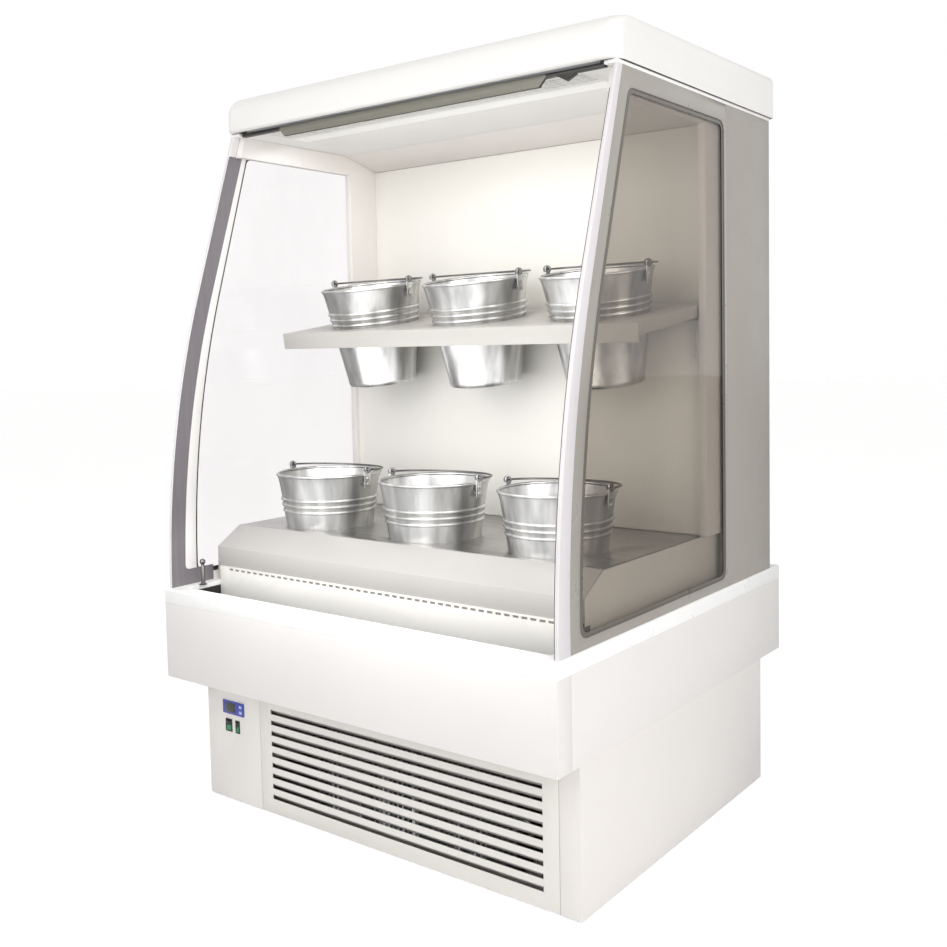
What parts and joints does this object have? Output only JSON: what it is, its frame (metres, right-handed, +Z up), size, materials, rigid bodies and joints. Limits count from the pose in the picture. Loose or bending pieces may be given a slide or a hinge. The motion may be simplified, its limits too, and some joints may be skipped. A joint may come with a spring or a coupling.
{
  "type": "open multideck display fridge",
  "caption": "Upright open-front display fridge with curved glazed sides, a tilted bucket shelf over a bucket deck, belted basin, louvred machine base and a pull-down night blind",
  "frame": {"origin": "middle of the underside of the overall box, on the floor", "axes": "+X to the right of someone facing the open front, the front faces -Y, +Z up"},
  "size_m": [1.108, 1, 1.7],
  "materials": {
    "casing_white": "satin powder coat",
    "rail_white": "smooth white moulding",
    "canopy_white": "smooth white moulding",
    "liner_cream": "satin cream paint",
    "post_anodised": "pale anodised",
    "border_grey": "dark grey printed border",
    "side_glass": "clear safety glass, slightly grey",
    "rear_grey": "satin grey",
    "basin_plastic": "insulated basin with a plastic skin",
    "deck_steel": "stainless",
    "bucket_zinc": "bright galvanised",
    "bail_wire": "galvanised wire",
    "machine_steel": "galvanised sheet",
    "foot_steel": "zinc plated",
    "compressor_black": "black enamel",
    "mount_rubber": "moulded",
    "pipe_copper": "drawn copper",
    "coil_aluminium": "bare fins",
    "fan_plastic": "moulded black",
    "display_blue": "dark blue window",
    "key_blue": "light blue keys",
    "frame_black": "moulded black",
    "rocker_green": "translucent green",
    "lamp_diffuser": "opal diffuser",
    "bar_dark": "dark grey",
    "blind_cloth": "reflective woven sheet",
    "pan_plastic": "moulded",
    "box_grey": "moulded grey"
  },
  "bodies": {
    "cabinet": {"levelling_feet": "foot_steel", "base_chassis": "machine_steel", "base_shell": "casing_white", "control_panel": "casing_white", "controller": "display_blue", "rocker_frames": "frame_black", "basin": "basin_plastic", "belt_front": "casing_white", "belt_sides": "casing_white", "belt_rail": "rail_white", "side_posts": "post_anodised", "side_frames": "border_grey", "side_glass": "side_glass", "rear_body": "rear_grey", "inner_trims": "liner_cream", "lower_back_panel": "liner_cream", "upper_back_panel": "liner_cream", "riser": "liner_cream", "deck_nosing": "liner_cream", "deck_supports": "machine_steel", "shelf_brackets": "liner_cream", "ceiling": "canopy_white", "canopy": "canopy_white", "lamp": "lamp_diffuser", "blind_fabric": "blind_cloth", "blind_hooks": "bar_dark", "condenser_coil": "coil_aluminium", "condenser_shroud": "machine_steel", "fan_motors": "compressor_black", "fan_plate": "machine_steel", "evaporator_coil": "coil_aluminium", "compressor": "compressor_black", "compressor_mounts": "mount_rubber", "refrigerant_pipes": "pipe_copper", "condensate_pan": "pan_plastic", "electrical_box": "box_grey"},
    "rocker_power": {"rocker_power": "rocker_green"},
    "rocker_light": {"rocker_light": "rocker_green"},
    "key_up": {"key_up": "key_blue"},
    "key_down": {"key_down": "key_blue"},
    "grille_panel": {"grille_panel": "casing_white"},
    "condenser_fan": {"condenser_fan": "fan_plastic"},
    "evaporator_fan_left": {"evaporator_fan_left": "fan_plastic"},
    "evaporator_fan_right": {"evaporator_fan_right": "fan_plastic"},
    "shelf": {"shelf": "liner_cream"},
    "deck": {"deck": "deck_steel"},
    "blind_bar": {"blind_bar": "bar_dark"},
    "blind_roll": {"blind_roll": "blind_cloth"},
    "bucket_1": {"bucket_1": "bucket_zinc"},
    "bail_1": {"bail_1": "bail_wire"},
    "bucket_2": {"bucket_2": "bucket_zinc"},
    "bail_2": {"bail_2": "bail_wire"},
    "bucket_3": {"bucket_3": "bucket_zinc"},
    "bail_3": {"bail_3": "bail_wire"},
    "bucket_4": {"bucket_4": "bucket_zinc"},
    "bail_4": {"bail_4": "bail_wire"},
    "bucket_5": {"bucket_5": "bucket_zinc"},
    "bail_5": {"bail_5": "bail_wire"},
    "bucket_6": {"bucket_6": "bucket_zinc"},
    "bail_6": {"bail_6": "bail_wire"}
  },
  "joints": [
    {"name": "rocker_power_rock", "type": "hinge", "parent": "cabinet", "child": "rocker_power", "pos_m": [-0.4566, -0.395, 0.184], "axis": [1, 0, 0], "range_deg": [-8, 0]},
    {"name": "rocker_light_rock", "type": "hinge", "parent": "cabinet", "child": "rocker_light", "pos_m": [-0.4256, -0.395, 0.184], "axis": [1, 0, 0], "range_deg": [-8, 0]},
    {"name": "key_up_press", "type": "slide", "parent": "cabinet", "child": "key_up", "axis": [0, 1, 0], "range_m": [0, 0.0006], "stiffness_N_per_m": 400, "springref_m": -0.0004},
    {"name": "key_down_press", "type": "slide", "parent": "cabinet", "child": "key_down", "axis": [0, 1, 0], "range_m": [0, 0.0006], "stiffness_N_per_m": 400, "springref_m": -0.0004},
    {"name": "grille_tilt", "type": "hinge", "parent": "cabinet", "child": "grille_panel", "pos_m": [0, -0.393, 0.013], "axis": [1, 0, 0], "range_deg": [0, 75]},
    {"name": "condenser_fan_spin", "type": "hinge", "parent": "cabinet", "child": "condenser_fan", "pos_m": [0.069, -0.2577, 0.141], "axis": [0, 1, 0], "continuous": true},
    {"name": "evaporator_fan_left_spin", "type": "hinge", "parent": "cabinet", "child": "evaporator_fan_left", "pos_m": [-0.24, 0.045, 0.499], "axis": [0, 1, 0], "continuous": true},
    {"name": "evaporator_fan_right_spin", "type": "hinge", "parent": "cabinet", "child": "evaporator_fan_right", "pos_m": [0.24, 0.045, 0.499], "axis": [0, 1, 0], "continuous": true},
    {"name": "shelf_lift", "type": "slide", "parent": "cabinet", "child": "shelf", "axis": [0, -0.1478, 0.989], "range_m": [0, 0.03]},
    {"name": "deck_lift", "type": "slide", "parent": "cabinet", "child": "deck", "axis": [0, 0, 1], "range_m": [0, 0.03]},
    {"name": "bucket_1_lift", "type": "slide", "parent": "shelf", "child": "bucket_1", "axis": [0, -0.1478, 0.989], "range_m": [0, 0.16]},
    {"name": "bail_1_swing", "type": "hinge", "parent": "bucket_1", "child": "bail_1", "pos_m": [-0.336, 0.00018, 1.24502], "axis": [1, 0, 0], "range_deg": [0, 172]},
    {"name": "bucket_2_lift", "type": "slide", "parent": "shelf", "child": "bucket_2", "axis": [0, -0.1478, 0.989], "range_m": [0, 0.16]},
    {"name": "bail_2_swing", "type": "hinge", "parent": "bucket_2", "child": "bail_2", "pos_m": [0, 0.00018, 1.24502], "axis": [1, 0, 0], "range_deg": [0, 172]},
    {"name": "bucket_3_lift", "type": "slide", "parent": "shelf", "child": "bucket_3", "axis": [0, -0.1478, 0.989], "range_m": [0, 0.16]},
    {"name": "bail_3_swing", "type": "hinge", "parent": "bucket_3", "child": "bail_3", "pos_m": [0.336, 0.00018, 1.24502], "axis": [1, 0, 0], "range_deg": [0, 172]},
    {"name": "bucket_4_lift", "type": "slide", "parent": "deck", "child": "bucket_4", "axis": [0, 0, 1], "range_m": [0, 0.16]},
    {"name": "bail_4_swing", "type": "hinge", "parent": "bucket_4", "child": "bail_4", "pos_m": [-0.336, -0.165, 0.7855], "axis": [1, 0, 0], "range_deg": [0, 172]},
    {"name": "bucket_5_lift", "type": "slide", "parent": "deck", "child": "bucket_5", "axis": [0, 0, 1], "range_m": [0, 0.16]},
    {"name": "bail_5_swing", "type": "hinge", "parent": "bucket_5", "child": "bail_5", "pos_m": [0, -0.165, 0.7855], "axis": [1, 0, 0], "range_deg": [0, 172]},
    {"name": "bucket_6_lift", "type": "slide", "parent": "deck", "child": "bucket_6", "axis": [0, 0, 1], "range_m": [0, 0.16]},
    {"name": "bail_6_swing", "type": "hinge", "parent": "bucket_6", "child": "bail_6", "pos_m": [0.336, -0.165, 0.7855], "axis": [1, 0, 0], "range_deg": [0, 172]},
    {"name": "blind_pull", "type": "slide", "parent": "cabinet", "child": "blind_bar", "axis": [0, -0.1712, -0.9852], "range_m": [0, 1.0261], "stiffness_N_per_m": 6, "springref_m": -2.5},
    {"name": "blind_roll_turn", "type": "hinge", "parent": "cabinet", "child": "blind_roll", "pos_m": [0, -0.22236, 1.644], "axis": [1, 0, 0], "range_deg": [0, 2451]}
  ],
  "couplings": [
    {"joint": "blind_roll_turn", "follows": "blind_pull", "rad_per_m": 41.667}
  ]
}
